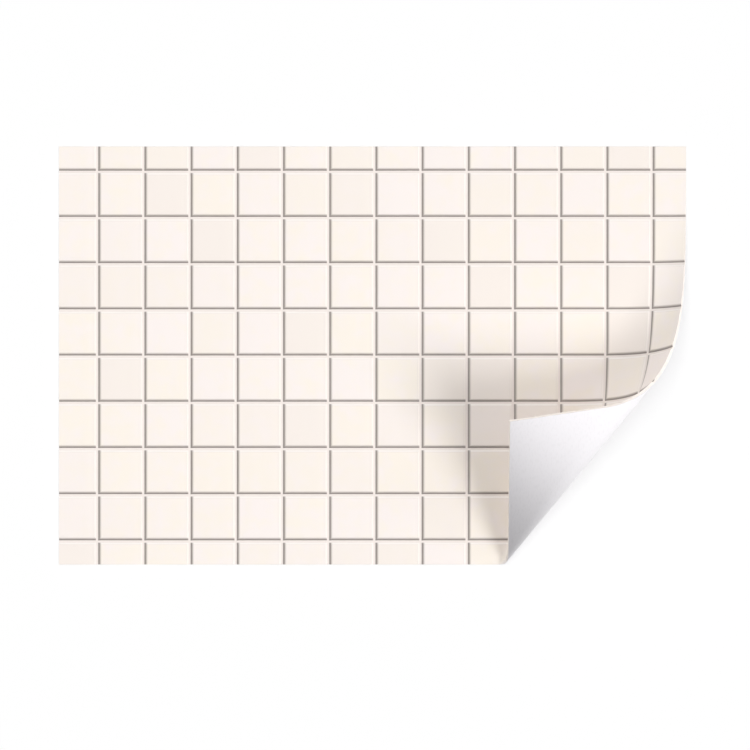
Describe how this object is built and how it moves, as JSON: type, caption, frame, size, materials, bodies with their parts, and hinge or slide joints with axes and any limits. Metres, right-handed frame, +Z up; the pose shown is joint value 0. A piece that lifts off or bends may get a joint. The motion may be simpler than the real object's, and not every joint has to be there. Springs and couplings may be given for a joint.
{
  "type": "peel and stick backsplash tile",
  "caption": "Flexible self-adhesive sheet with a moulded square mosaic face, lying on its white release liner, one corner peeled up and curled over to start it.",
  "frame": {"origin": "middle of the sheet's outline on the underside of the release liner", "axes": "+X along the long side, towards the peeled corner; +Y along the short side, away from the peeled corner; +Z up out of the printed face"},
  "size_m": [0.4572, 0.3048, 0.0821],
  "materials": {
    "printed_vinyl": "satin printed vinyl",
    "liner_paper": "white siliconised paper, slightly glossy"
  },
  "bodies": {
    "root": {"tile_sheet": "printed_vinyl", "release_liner": "liner_paper"}
  },
  "joints": []
}
